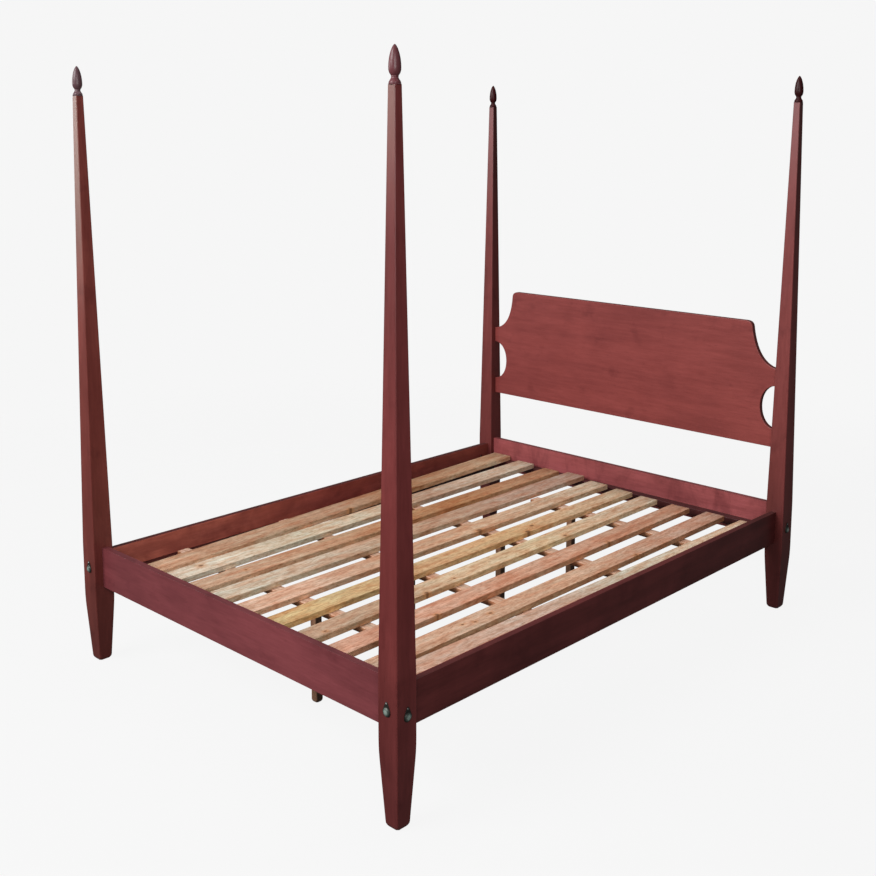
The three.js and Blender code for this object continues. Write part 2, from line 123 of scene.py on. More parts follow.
class Finish:
    """A material whose nodes are added one by one; sockets are linked as they are named."""

    def __init__(self, name, **shader_values):
        self.material = bpy.data.materials.new(name)
        self.material.use_nodes = True
        self.tree = self.material.node_tree
        self.shader = self.tree.nodes["Principled BSDF"]
        self.apply(**shader_values)

    def put(self, socket, value):
        """Link a socket, or set a plain value."""
        if isinstance(value, bpy.types.NodeSocket):
            self.tree.links.new(value, socket)
        else:
            socket.default_value = value

    def apply(self, **shader_values):
        """Set or link inputs of the shader, with _ for each space in their names."""
        for socket, value in shader_values.items():
            self.put(self.shader.inputs[socket.replace("_", " ")], value)

    def add(self, kind, inputs=(), **settings):
        """A node of a kind; inputs maps socket names or numbers to sockets or values."""
        made = self.tree.nodes.new("ShaderNode" + kind)
        for key, value in settings.items():
            setattr(made, key, value)
        for key, value in dict(inputs).items():
            self.put(made.inputs[key], value)
        return made

    def math(self, operation, a, b=0.0, c=0.0, clamp=False):
        """One arithmetic step."""
        return self.add(
            "Math", {0: a, 1: b, 2: c}, operation=operation, use_clamp=clamp).outputs[0]

    def between(self, value, low, high, to_low=0.0, to_high=1.0):
        """A value eased from one range into another."""
        return self.add("MapRange", {
            "Value": value, "From Min": low, "From Max": high, "To Min": to_low,
            "To Max": to_high}, interpolation_type="SMOOTHSTEP").outputs[0]

    def axis(self, vector, name):
        """The X, Y or Z of a vector."""
        return self.add("SeparateXYZ", {0: vector}).outputs[name]

    def facing(self, name):
        """1 where the surface faces along an axis, either way, and 0 where it lies along it."""
        return self.math("ABSOLUTE", self.axis(self.add("NewGeometry").outputs["Normal"], name))

    def broad(self, name, elsewhere=0.0):
        """1 on the faces that look along an axis, eased into another value on the rest."""
        return self.between(self.facing(name), 0.45, 0.95, elsewhere, 1.0)

    def grey(self, value):
        """The colour whose red, green and blue all are one value."""
        return self.add("CombineColor", {0: value, 1: value, 2: value}).outputs[0]

    def blend(self, share, a, b, mode="MIX"):
        """Colour a with a share of colour b mixed in."""
        mixer = self.add("Mix", {"Factor": share}, data_type="RGBA", blend_type=mode)
        self.put(mixer.inputs[COLOUR_A], a)
        self.put(mixer.inputs[COLOUR_B], b)
        return mixer.outputs[COLOUR_RESULT]

    def tint(self, colour, tone, share=1.0):
        """A colour times a tone, in full or in part."""
        return self.blend(share, colour, tone, "MULTIPLY")

    def ramp(self, value, stops, mode="LINEAR"):
        """Colour or grey by value; stops are (value, (r, g, b)) pairs."""
        made = self.add("ValToRGB", {0: value})
        made.color_ramp.interpolation = mode
        while len(made.color_ramp.elements) < len(stops):
            made.color_ramp.elements.new(0.5)
        for element, (place, colour) in zip(made.color_ramp.elements, stops):
            element.position = place
            element.color = (*colour, 1.0)
        return made.outputs[0]

    def noise(self, vector, scale, detail=3.0, rough=0.5, distort=0.0):
        """Grey noise on a vector."""
        return self.add("TexNoise", {
            "Vector": vector, "Scale": scale, "Detail": detail, "Roughness": rough,
            "Distortion": distort}).outputs[0]

    def stretched(self, vector, scale, move=(0, 0, 0)):
        """A vector scaled along each axis and then moved."""
        return self.add("Mapping", {
            "Vector": vector, "Location": move, "Scale": scale}).outputs[0]

    def bump(self, height, strength, distance):
        """Small relief from a grey height, as deep as `distance` in metres."""
        made = self.add("Bump", {"Height": height, "Strength": strength, "Distance": distance})
        self.apply(Normal=made.outputs[0])


def linear(red, green, blue):
    """Screen colour 0-255 turned to the linear values that a shader takes."""
    c = np.array([red, green, blue]) / 255
    return tuple(np.where(c <= 0.04045, c / 12.92, ((c + 0.055) / 1.055) ** 2.4))


print("half grey on a screen, 128 of 255, is", round(linear(128, 128, 128)[0], 3), "to a shader")


# %% [markdown]
# ## Stained hardwood
# A thin red stain over fine-grained maple: the colour is almost even, with soft lengthwise bands,
# cloudy patches where the wood took more stain, and short dark pores. A picture of wood could be
# wrapped round each piece, but noise needs no unwrapping and no two pieces look alike. It is
# stretched along the grain, so each piece takes the finish made for its own direction.

# %% Finish for stained pieces
ALONG = {"X": (0.09, 1.0, 1.0), "Y": (1.0, 0.09, 1.0), "Z": (1.0, 1.0, 0.09)}
HIGH_SPAN = (0.8, 1.4)  # heights in metres between which the share `high`, a painted shade, takes over
EDGE_SPAN = (0.4, 1.9)  # heights in metres that a pair of shares in `edge` belongs to
NEAR_FACE = 1.5 * MM  # what lies this near to the inner face counts as part of it


def inner_face_light(finish, place):
    """Painted light on the side rails' inner faces: lighter and blotched, from rose at the foot,
    where more light falls, to brown at the head.
    """
    blotch = finish.noise(finish.stretched(place, (1, 0.5, 1)), 11.0, 4.0, 0.6, 0.8)
    uneven = finish.ramp(blotch, [(0.42, (0.8, 0.76, 0.76)), (0.66, (1.16, 1.2, 1.14))])
    painted_light = finish.ramp(finish.between(finish.axis(place, "Y"), -1.0, 1.0), [
        (0.0, linear(196, 108, 92)), (0.5, linear(156, 74, 66)), (1.0, linear(136, 66, 58))])
    return finish.tint(painted_light, uneven)


def stained(name, grain, light, dark, low=0.62, clear=0.75, face=None, edge=0.8, inside=None,
            rough=0.34, shine=0.38, high=1.0, pale=None, laps=0.0):
    """Stain over maple: noise picks a colour between `dark` and `light`, and finer noise, marks and
    shares by height and by face multiply it. `grain` and `face` are the axes of the grain and of the
    broad faces.

    `low` is the share of colour left at the floor, a painted shade that darkens the piece towards
    the floor, and it is 1 from the height `clear`; `high` is the share from the top of HIGH_SPAN up,
    a painted shade on the upper part. `edge` is the share on the other faces, as one number or as a
    pair
    for the two heights of EDGE_SPAN: painted shade under 1 and painted light over 1. `inside` is how
    far the inner face is from the middle; that face is painted lighter and blotched, a painted
    light.
    `pale` is the colour of a painted sheen on the broad faces, the heights where it starts and is
    full, and its share. `laps` is how strongly the brush's overlaps show, and `rough` and `shine`
    are the least roughness and the strength of the gloss."""
    finish = Finish(
        name, IOR=1.45, Coat_Weight=0.04, Coat_Roughness=0.25, Specular_IOR_Level=shine)
    place = finish.add("TexCoord").outputs["Object"]
    fibre = finish.stretched(place, ALONG[grain])
    bands = finish.noise(fibre, 14.0, 4.0, 0.55, 0.6)
    clouds = finish.noise(place, 2.6, 3.0, 0.6, 0.4)
    lines = finish.noise(fibre, 130.0, 5.0, 0.65)
    pores = finish.noise(fibre, 420.0, 2.0, 0.5)
    tone = finish.math("MULTIPLY_ADD", bands, 0.5, finish.math("MULTIPLY", clouds, 0.5))
    colour = finish.ramp(tone, [(0.36, linear(*dark)), (0.62, linear(*light))], "EASE")
    # Painted light: the inner face of a side rail is made lighter and blotched.
    if inside:
        distance = finish.math("ABSOLUTE", finish.axis(place, face))
        inner_face_mask = finish.math("COMPARE", distance, inside, NEAR_FACE)
        colour = finish.blend(inner_face_mask, colour, inner_face_light(finish, place))
    fine = finish.ramp(lines, [(0.3, (0.84, 0.8, 0.8)), (0.7, (1.06, 1.06, 1.06))])
    colour = finish.tint(colour, fine)
    dots = finish.ramp(pores, [(0.28, (0.72, 0.7, 0.7)), (0.36, (1, 1, 1))])
    colour = finish.tint(colour, dots, 0.7)
    smudge = finish.noise(finish.stretched(place, (1, 1, 1), move=(3, 5, 7)), 9.0, 3.0, 0.6)
    marks = finish.ramp(smudge, [(0.6, (1, 1, 1)), (0.72, (0.8, 0.74, 0.76))])
    colour = finish.tint(colour, marks)
    if laps:
        lap = finish.noise(finish.stretched(place, (1, 1, 0.4), move=(2, 0, 9)), 8.0, 4.0, 0.65, 0.5)
        lapped = finish.ramp(lap, [
            (0.4, (0.72, 0.66, 0.68)), (0.52, (1, 1, 1)), (0.64, (1.05, 1.05, 1.08))])
        colour = finish.tint(colour, lapped, laps)
    # Painted shade by height: darker towards the floor up to `clear`, and on the upper part where
    # `high` is under 1.
    rise = finish.axis(place, "Z")
    shade = finish.between(rise, 0.0, clear, low, 1.0)
    if high != 1.0:
        shade = finish.math("MULTIPLY", shade, finish.between(rise, *HIGH_SPAN, 1.0, high))
    # Painted light and shade by face: the faces across the broad ones take the share `edge`, shade
    # under 1 and light over 1.
    if face:
        near, far = np.broadcast_to(edge, 2).tolist()
        share = near if near == far else finish.between(rise, *EDGE_SPAN, near, far)
        shade = finish.math("MULTIPLY", shade, finish.broad(face, share))
    colour = finish.tint(colour, finish.grey(shade))
    # Painted sheen: a pale tone blended over the broad faces towards the top.
    if pale:
        sheen_tone, start, full, share = pale
        where = finish.math("MULTIPLY", finish.between(rise, start, full), share)
        where = finish.math("MULTIPLY", where, finish.broad(face))
        colour = finish.blend(where, colour, (*linear(*sheen_tone), 1))
    finish.apply(Base_Color=colour, Roughness=finish.math("MULTIPLY_ADD", lines, 0.16, rough))
    finish.bump(lines, 0.25, 0.3 * MM)
    return finish.material


inner_face = abs(corners("left_rail")[1][0])
print("a side rail's inner face is", round(inner_face / MM, 2), "mm from the middle")


# %% [markdown]
# ## The stained pieces' own tones
# No two posts are lit alike, so each has its own two tones, its own painted shade by height and by
# face, and a painted sheen that pales it towards its top. One finish for all would be shorter but
# flatter, so each post, the foot rail, the head rail and the headboard get their own two tones. The
# two side rails share a finish, and so do the four ledgers.

# %% Tones of posts, rails, headboard and ledgers
# Tones of the painted sheen towards the posts' tops.
SHEEN_TAN, SHEEN_ROSE = (125, 107, 98), (130, 90, 92)
# For each post, `low` and `clear` paint shade towards the floor, `high` paints shade on the upper
# part, `edge` paints light on the faces across where it is over 1 and shade where it is under 1, and
# `pale` paints a sheen towards the top.
POST_WOOD = {
    "foot_left": stained(
        "stained_post_foot_left", "Z", (117, 57, 51), (97, 43, 38), face="Y", edge=1.35,
        pale=(SHEEN_TAN, 1.1, 1.65, 0.55)),
    "foot_right": stained(
        "stained_post_foot_right", "Z", (113, 50, 49), (94, 38, 37), face="Y", edge=1.15,
        high=0.74, pale=(SHEEN_TAN, 1.5, 1.95, 0.38)),
    "head_left": stained(
        "stained_post_head_left", "Z", (114, 51, 49), (94, 39, 37), clear=1.2, face="Y",
        edge=(1.0, 0.42), pale=(SHEEN_ROSE, 1.3, 1.9, 0.35)),
    "head_right": stained(
        "stained_post_head_right", "Z", (115, 52, 50), (95, 40, 38), clear=1.2, face="Y",
        edge=(1.15, 0.5), pale=(SHEEN_ROSE, 1.4, 1.95, 0.35))}
# The side rails are given dark tones, a painted shade for their shaded outer faces; `inside` paints
# their inner faces lighter, a painted light, and `edge` paints shade on their top and bottom.
side_rail_wood = stained(
    "stained_side_rail", "Y", (103, 46, 45), (80, 33, 32), low=0.8, face="X", edge=0.76,
    inside=inner_face, laps=0.3, shine=0.3)
# `low` paints shade towards the floor, and the default `edge` paints shade on the rails' top and
# bottom.
RAIL_WOOD = {
    "foot": stained(
        "stained_foot_rail", "X", (121, 59, 63), (103, 48, 52), low=0.8, face="Y"),
    "head": stained(
        "stained_head_rail", "X", (149, 76, 77), (127, 61, 62), low=0.8, face="Y", laps=0.9),
    "left": side_rail_wood,
    "right": side_rail_wood}
# `edge` paints shade on the headboard's edges.
board_wood = stained("stained_headboard", "X", (126, 57, 54), (112, 48, 46), face="Y", edge=0.55)
# The ledgers are painted near black, a painted shade for the shadow under the slat ends.
ledger_painted_shade = stained("painted_shade_ledger", "Y", (70, 28, 28), (52, 20, 20), low=0.8)
for wood in (*POST_WOOD.values(), *RAIL_WOOD.values(), board_wood, ledger_painted_shade):
    print("finish:", wood.name)


# %% [markdown]
# ## Metal
# The bolts and nuts are plain steel gone dull. The covers are brass that has aged to a dark
# green-brown patina, and the raised dome is painted pale, a painted highlight. The highlight could
# be painted on by hand, but the cover's shape already knows its height, so the finish reads that
# from the attribute relief.

# %% Finishes for metal
def dull_steel():
    """Grey steel with fine specks of wear."""
    finish = Finish("dull_steel", Metallic=1.0, Roughness=0.45)
    place = finish.add("TexCoord").outputs["Object"]
    specks = finish.noise(place, 300.0, 4.0, 0.6)
    finish.apply(Base_Color=finish.ramp(
        specks, [(0.3, linear(95, 93, 90)), (0.7, linear(150, 149, 147))]))
    return finish.material


def aged_brass():
    """Dark patina in the hollows; the raised middle is painted paler, a painted highlight, and made
    smoother.
    """
    finish = Finish("aged_brass", Metallic=0.6)
    place = finish.add("TexCoord").outputs["Object"]
    patches = finish.noise(place, 160.0, 4.0, 0.6)
    height = finish.add("Attribute", attribute_name="relief").outputs["Fac"]
    # Painted highlight: paler and smoother where the dome stands out, broken by patches.
    painted_light = finish.math("MULTIPLY_ADD", patches, 0.5, -0.3)
    painted_light = finish.math("ADD", painted_light, height, clamp=True)
    finish.apply(
        Base_Color=finish.ramp(painted_light, [
            (0.1, linear(44, 42, 38)), (0.6, linear(84, 95, 89)), (0.95, linear(166, 184, 174))]),
        Roughness=finish.ramp(painted_light, [(0.1, (0.5, 0.5, 0.5)), (0.9, (0.24, 0.24, 0.24))]))
    finish.bump(patches, 0.2, 0.2 * MM)
    return finish.material


steel_finish = dull_steel()
brass_finish = aged_brass()
print("finishes:", steel_finish.name, "and", brass_finish.name)


# %% [markdown]
# ## Posts, rails, ledgers, bolts and nuts
# These solids already have the right shape, with their mortises and holes. What a camera misses on
# them is the eased edge, which catches the light. They could be built anew with round edges, but a
# welded copy with a small bevel on every sharp edge keeps every mortise and hole in its place.

# %% Eased copies of solids
def eased_copy(node, material, width):
    """A copy of a solid: corners welded, flat faces joined, sharp edges rounded by `width`."""
    mesh = frame["nodes"][node].data.copy()
    mesh.name = node + "_eased"
    work = bmesh.new()
    work.from_mesh(mesh)
    bmesh.ops.remove_doubles(work, verts=work.verts, dist=2e-6)
    bmesh.ops.dissolve_limit(work, angle_limit=np.radians(0.5), verts=work.verts, edges=work.edges)
    work.to_mesh(mesh)
    work.free()
    for layer in list(mesh.uv_layers):
        mesh.uv_layers.remove(layer)
    mesh.polygons.foreach_set("use_smooth", np.ones(len(mesh.polygons), bool))
    mesh.update()
    piece = bpy.data.objects.new(mesh.name, mesh)
    bpy.context.scene.collection.objects.link(piece)
    bevel = piece.modifiers.new("eased edges", "BEVEL")
    bevel.width = width
    bevel.segments = 3
    bevel.limit_method = "ANGLE"
    bevel.angle_limit = np.radians(30)
    even = piece.modifiers.new("flat faces shade flat", "WEIGHTED_NORMAL")
    even.mode = "FACE_AREA"
    even.weight = 100
    return dress(piece, material, stands_for=node)


POST_EASE, RAIL_EASE, LEDGER_EASE, BOLT_EASE = 0.7 * MM, 2.2 * MM, 1.2 * MM, 0.4 * MM
eased = [eased_copy(f"post_{corner}", wood, POST_EASE)
         for corner, wood in POST_WOOD.items()]
for side, wood in RAIL_WOOD.items():
    eased.append(eased_copy(f"{side}_rail", wood, RAIL_EASE))
    eased.append(eased_copy(f"{side}_ledger", ledger_painted_shade, LEDGER_EASE))
    for part in ("bolt_a", "nut_a", "bolt_b", "nut_b"):
        eased.append(eased_copy(f"{side}_{part}", steel_finish, BOLT_EASE))
print(len(eased), "solids have eased edges")


# %% [markdown]
# ## Finials
# Each finial is turned: a bead at the seat, a flared collar, a thin neck and a pointed bulb. Turning
# is a profile swept about an axis, so a list of radii and heights is enough, and the curves are
# Bezier arcs because a turner's coves and swells have no straight stretches.

# %% Bezier arcs and turned finials
def bezier(start, lead, follow, end, steps):
    """Points on a cubic Bezier arc from start to end, both included: the four given points weighed
    by (1-t)^3, 3(1-t)^2 t, 3(1-t) t^2 and t^3."""
    t = np.linspace(0, 1, steps + 1)[:, None]
    start, lead, follow, end = (np.array(p, float) for p in (start, lead, follow, end))
    return ((1 - t) ** 3 * start + 3 * (1 - t) ** 2 * t * lead
            + 3 * (1 - t) * t ** 2 * follow + t ** 3 * end)


FINIAL_HEIGHT = 92.5
FINIAL_PROFILE = np.concatenate([  # radius and height in mm: dowel, bead, scribed line, collar,
    [(4.6, -32), (5.6, -31.5), (6, -30.5), (6, -0.05), (6.3, 0), (14.0, 0)],  # neck, bulb and tip
    bezier((15.6, 0), (16.4, 0.2), (16.4, 1.5), (15.4, 1.7), 6),
    bezier((14.4, 1.9), (14.0, 2.2), (14.1, 2.8), (14.9, 3.1), 4),
    bezier((15.0, 3.5), (14.1, 9), (10, 11), (8.6, 17), 12),
    bezier((8.7, 17.6), (9.5, 17.9), (9.5, 19.2), (8.9, 19.6), 5),
    bezier((8.9, 20), (12.6, 24.5), (15.4, 29), (15.4, 38), 14),
    bezier((15.4, 38), (15.4, 62), (9.5, FINIAL_HEIGHT - 9), (1.6, FINIAL_HEIGHT - 0.4), 26)[1:],
    [(0.6, FINIAL_HEIGHT - 0.05)],
])


def turned(name, profile, centre, sides=64):
    """A profile of (radius, height) in mm swept about the vertical through centre, in metres: each
    ring is the centre plus its radius times (cos, sin) of the angle, at its height."""
    angle = np.linspace(0, 2 * np.pi, sides, endpoint=False)
    radius, height = (profile * MM).T
    rings = np.stack([
        centre[0] + radius[:, None] * np.cos(angle), centre[1] + radius[:, None] * np.sin(angle),
        centre[2] + np.repeat(height[:, None], sides, 1)], -1)
    return closed_tube(name, rings)


FINIAL_TONES_AS_LIT = {  # light and dark stain and gloss, set to how each finial is lit: the head pair is painted nearly black, a painted shade, and the foot-left pair's grey is partly a painted sheen
    "foot_left": ((94, 68, 73), (74, 50, 55), 0.35),
    "foot_right": ((94, 51, 55), (76, 40, 44), 0.3),
    "head_left": ((66, 18, 20), (46, 12, 14), 0.14),
    "head_right": ((62, 18, 20), (42, 12, 14), 0.16)}
for corner, (light, dark, shine) in FINIAL_TONES_AS_LIT.items():
    node = f"finial_{corner}"
    low, high = corners(node)
    seat = (*((low + high) / 2)[:2], high[2] - FINIAL_HEIGHT * MM)
    piece = turned(node + "_turned", FINIAL_PROFILE, seat)
    wood = stained(f"stained_finial_{corner}", "Z", light, dark, rough=0.3, shine=shine)
    dress(piece, wood, stands_for=node)
    print(piece.name, len(piece.data.polygons), "faces")


# %% [markdown]
# ## Headboard
# The board is cut from one plank: swept shoulders at the top, an ear above and below a round notch
# at each post. A plank with holes cut by modifiers would leave ragged faces, so its outline is
# followed once, and copies of it, drawn in a little at the two faces, round the edge as sandpaper
# does. The posts grow slimmer upwards, so the upper ears reach a little further than the lower.

# %% Headboard
POST_AXIS = 722  # mm from the bed's middle to the middle of a post
HALF_POST, HALF_TOP = 35.25, 12.5  # half a post's width in mm, at the rails and at its top
TAPER_START, TAPER_END = 409, 1881.5  # heights in mm between which a post grows slimmer
EAR_GAP = 0.3  # mm left between an ear and its post


def ear_end(height):
    """Half the board's width in mm where it meets the posts: a post's inner face less the gap, and
    that face moves outwards evenly with height."""
    slimming = (height - TAPER_START) * (HALF_POST - HALF_TOP) / (TAPER_END - TAPER_START)
    return POST_AXIS - (HALF_POST - slimming) - EAR_GAP


def board_outline():
    """The board's outline in mm as (x, z), anticlockwise: lower ear, notch, upper ear, swept
    shoulder and rounded corner on the right, then the same mirrored. From the shoulder to the end
    of the sweep the points move left evenly, until all above it are `lean` off the middle."""
    bottom, ear_low, ear_high, shoulder, top = 614.5, 683.5, 847.5, 911.5, 1080
    middle, reach, depth = 765.5, 82, 65  # the notch: its middle, half its height, its depth
    lean = 6
    apex = ear_end(middle) - depth
    inward, upright = apex + 0.42 * depth, 0.58 * reach  # handles of the notch's Bezier arcs
    sweep_end = np.array([588, top - 20])
    flat_end = np.array([558, top])
    right = np.concatenate([
        [(ear_end(bottom), bottom), (ear_end(ear_low), ear_low)],
        bezier((ear_end(ear_low), ear_low), (inward, ear_low),
               (apex, middle - upright), (apex, middle), 24)[1:],
        bezier((apex, middle), (apex, middle + upright),
               (inward, ear_high), (ear_end(ear_high), ear_high), 24)[1:],
        [(ear_end(shoulder), shoulder)],
        bezier((ear_end(shoulder), shoulder), (ear_end(shoulder) - 62, shoulder + 5),
               sweep_end + (10, -90), sweep_end, 30)[1:],
        bezier(sweep_end, sweep_end + (-2.5, 12), flat_end + (20, 0), flat_end, 12)[1:],
    ])
    whole = np.concatenate([right, right[::-1] * (-1, 1)])
    whole[:, 0] -= lean * np.clip((whole[:, 1] - shoulder) / (sweep_end[1] - shoulder), 0, 1)
    return whole


def inset(outline, amount):
    """A closed outline (n, 2), anticlockwise, moved inwards along the normals at its points."""
    ahead = np.roll(outline, -1, 0) - outline
    behind = outline - np.roll(outline, 1, 0)
    direction = (ahead / np.linalg.norm(ahead, axis=1, keepdims=True)
                 + behind / np.linalg.norm(behind, axis=1, keepdims=True))
    direction /= np.linalg.norm(direction, axis=1, keepdims=True)
    return outline + amount * np.stack([-direction[:, 1], direction[:, 0]], -1)


def headboard(node, rounding=2.4, steps=5):
    """Layers of the outline from face to face, as one closed tube. With t from 0 to 90 degrees, the
    layer rounding * (1 - cos t) below a face is drawn in by rounding * (1 - sin t), in mm, which
    is a quarter circle."""
    low, high = corners(node)
    thickness = (high[1] - low[1]) / MM
    turn = np.linspace(0, np.pi / 2, steps + 1)
    draws = rounding * (1 - np.sin(turn))
    depths = rounding * (1 - np.cos(turn))
    draws = np.concatenate([draws, draws[::-1]])
    depths = np.concatenate([depths, thickness - depths[::-1]])
    outline = board_outline()
    layers = np.stack([inset(outline, draw) for draw in draws])
    depths = np.broadcast_to(depths[:, None], layers.shape[:2])
    rings = np.stack([layers[..., 0], depths, layers[..., 1]], -1) * MM
    rings[..., 1] += low[1]
    piece = closed_tube(node + "_shaped", rings)
    return dress(piece, board_wood, stands_for=node)


shaped = headboard("headboard")
print(shaped.name, len(shaped.data.polygons), "faces")


# %% [markdown]
# ## Bare pine
# The slats are rough-sawn pine boards. Each has its own tone, and most have knots. A picture would
# repeat itself over ten boards, so the figure is layers of noise again. It follows the board: along,
# across and up are stored on every point, and the finish reads them instead of the place in the
# room. Round a knot these places are pushed aside, and the figure bends with them.

# %% Finish for pine
PINE_FIGURE = {  # how a place is stretched, the noise's scale, and the tone from low to high
    "reddish and pale patches": ((3.6, 14.0, 14.0), 2.4, [
        (0.36, (0.9, 0.74, 0.66)), (0.5, (1, 1, 1)), (0.64, (1.0, 1.14, 1.22))]),
    "long bands": ((0.8, 20.0, 12.0), 2.6, [
        (0.4, (0.88, 0.84, 0.8)), (0.6, (1.06, 1.06, 1.06))]),
    "grain lines": ((9.0, 100.0, 100.0), 3.0, [
        (0.3, (0.76, 0.71, 0.66)), (0.55, (1.0, 1.0, 1.0)), (0.72, (1.12, 1.12, 1.1))]),
    "short streaks": ((26.0, 80.0, 80.0), 1.6, [
        (0.34, (0.78, 0.7, 0.62)), (0.5, (1, 1, 1)), (0.66, (1.12, 1.14, 1.14))]),
    "dark flecks": ((34.0, 90.0, 90.0), 2.0, [
        (0.3, (0.6, 0.52, 0.46)), (0.38, (1.03, 1.04, 1.05))]),
    "saw marks across": ((260.0, 6.0, 6.0), 1.0, [
        (0.35, (0.95, 0.94, 0.93)), (0.65, (1.02, 1.02, 1.02))]),
}
KNOT_HALO, KNOT_HEART = (*linear(176, 116, 66), 1), (*linear(98, 66, 44), 1)
EDGE_SHADE_SPAN = (-8 * MM, 7 * MM)  # heights over a board's middle that the pair in `fade`, painted light and shade on the edges, belongs to


def from_knot(finish, grain, knot, squeeze):
    """The vector from a knot's middle, squeezed along the board, and its length."""
    offset = finish.add("VectorMath", {0: grain, 1: (knot[0], knot[1], 0)}, operation="SUBTRACT")
    away = finish.add("VectorMath", {
        0: offset.outputs[0], 1: (squeeze, 1, 0)}, operation="MULTIPLY").outputs[0]
    return away, finish.add("VectorMath", {0: away}, operation="LENGTH").outputs["Value"]


def pine_finish(name, tones, side, seed, knots=(), length=1.88, fade=(1.36, 1.055)):
    """Sawn pine: the tones run from the board's start to its end, over `length` in metres, and each
    layer of figure multiplies them.

    `side` tints the sawn edges and `fade` is how bright they are at the bottom and at the top:
    painted light and shade that stand for how the edges are lit.
    `seed` moves the figure, so that no two boards match. The knots are (along, across, radius) in
    metres; the figure is pushed away from each, which has a brown halo and a dark heart."""
    finish = Finish(name, Roughness=0.75, Specular_IOR_Level=0.25)
    grain = finish.add("Attribute", attribute_name="grain").outputs["Vector"]
    reach = finish.between(finish.axis(grain, "X"), 0.0, length)
    places = np.linspace(0, 1, len(tones))
    colour = finish.ramp(reach, [(place, linear(*tone)) for place, tone in zip(places, tones)])
    bent = grain
    for knot in knots:
        away, far = from_knot(finish, grain, knot, 0.55)
        near = finish.between(far, knot[2] * 0.8, knot[2] * 3.2, 1.0, 0.0)
        push = finish.add("VectorMath", {0: away, "Scale": near}, operation="SCALE").outputs[0]
        bent = finish.add("VectorMath", {0: bent, 1: push}, operation="ADD").outputs[0]
    moved = finish.stretched(bent, (1.0, 1.0, 1.0), move=(seed * 1.7, seed * 0.31, seed * 0.13))
    for stretch, scale, stops in PINE_FIGURE.values():
        layer = finish.noise(finish.stretched(moved, stretch), scale, 4.0, 0.6, 0.3)
        colour = finish.tint(colour, finish.ramp(layer, stops))
    for knot in knots:
        _, far = from_knot(finish, grain, knot, 0.7)
        halo = finish.between(far, knot[2] * 0.8, knot[2] * 3.5, 0.5, 0.0)
        colour = finish.blend(halo, colour, KNOT_HALO)
        heart = finish.between(far, knot[2] * 0.5, knot[2] * 1.4, 0.85, 0.0)
        colour = finish.blend(heart, colour, KNOT_HEART)
    # Painted light and shade on the sawn edges: the edge colour is tinted by `side` and made
    # brighter or darker by height.
    brown = finish.tint(colour, (*side, 1))
    bright = finish.between(finish.axis(grain, "Z"), *EDGE_SHADE_SPAN, *fade)
    brown = finish.tint(brown, finish.grey(bright))
    on_edge = finish.between(finish.facing("Z"), 0.4, 0.9, 1.0, 0.0)
    finish.apply(Base_Color=finish.blend(on_edge, colour, brown))
    fibre = finish.noise(finish.stretched(moved, (5.0, 110.0, 110.0)), 3.0, 4.0, 0.6)
    finish.bump(fibre, 0.3, 0.4 * MM)
    return finish.material


print("figure of pine:", ", ".join(PINE_FIGURE))


# %% [markdown]
# ## Boards that lie askew
# A slat is a long board with slightly rounded edges, laid by hand and so a little off straight. A
# box could be scaled and turned into place, but then the figure would know nothing of the board's
# own directions. So each board is swept between the middles of its two ends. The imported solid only
# tells its outer box, so the ends are worked out from the solid's own corner points.

# %% Where a board's ends are, and a board between them
def board_ends(node):
    """Middles of the two ends (x, y), the width and the lowest and highest z of a skewed board. Its
    length runs in the direction in which its corner points spread furthest."""
    solid = frame["nodes"][node]
    local = np.empty(3 * len(solid.data.vertices), np.float32)
    solid.data.vertices.foreach_get("co", local)
    world = np.array(solid.matrix_world)
    points = local.reshape(-1, 3) @ world[:3, :3].T + world[:3, 3]
    middle = points[:, :2].mean(0)
    flat = points[:, :2] - middle
    _, _, axes = np.linalg.svd(flat, full_matrices=False)
    along = axes[0] * np.sign(axes[0][np.argmax(np.abs(axes[0]))])
    place = flat @ along
    across = flat @ np.array([-along[1], along[0]])
    start = middle + along * place.min()
    end = middle + along * place.max()
    return start, end, np.ptp(across), points[:, 2].min(), points[:, 2].max()


def sawn_board(name, start, end, width, low, high, ease=1.2 * MM, steps=3, rows=24):
    """A board between two middles (x, y): rounded rectangles in a row, in metres. At the distance
    `travel` from the start the rectangle is drawn in by `draw`, which rounds the ends too. Every
    point keeps its (along, across, up) in the attribute grain."""
    length = np.linalg.norm(end - start)
    along = (end - start) / length
    across = np.array([along[1], -along[0]])
    half = np.array([width, high - low]) / 2
    turn = np.linspace(0, np.pi / 2, steps + 1)
    quarter = half - ease + ease * np.stack([np.cos(turn), np.sin(turn)], -1)
    section = np.concatenate([
        quarter, quarter[::-1] * (-1, 1), quarter * (-1, -1), quarter[::-1] * (1, -1)])
    bend = ease * 0.3
    draw = np.array([ease, bend, *([0] * (rows + 2)), bend, ease])
    travel = np.concatenate([
        [0, bend], np.linspace(ease, length - ease, rows + 2), [length - bend, length]])
    spread = section * (1 - draw[:, None, None] / half)
    rings = np.empty((*spread.shape[:2], 3))
    rings[..., :2] = start + travel[:, None, None] * along + spread[..., :1] * across
    rings[..., 2] = (low + high) / 2 + spread[..., 1]
    piece = closed_tube(name, rings[:, ::-1])
    grain = np.empty(rings.shape, np.float32)
    grain[..., 0] = travel[:, None]
    grain[..., 1:] = spread
    layer = piece.data.attributes.new("grain", "FLOAT_VECTOR", "POINT")
    layer.data.foreach_set("vector", grain[:, ::-1].ravel())
    return piece


start, end, width, low, high = board_ends("slat_1")
slat_size = np.round([np.linalg.norm(end - start) / MM, width / MM, (high - low) / MM], 1)
print("slat 1 is", *slat_size, "mm and lies askew by", round((end - start)[0] / MM, 1), "mm")
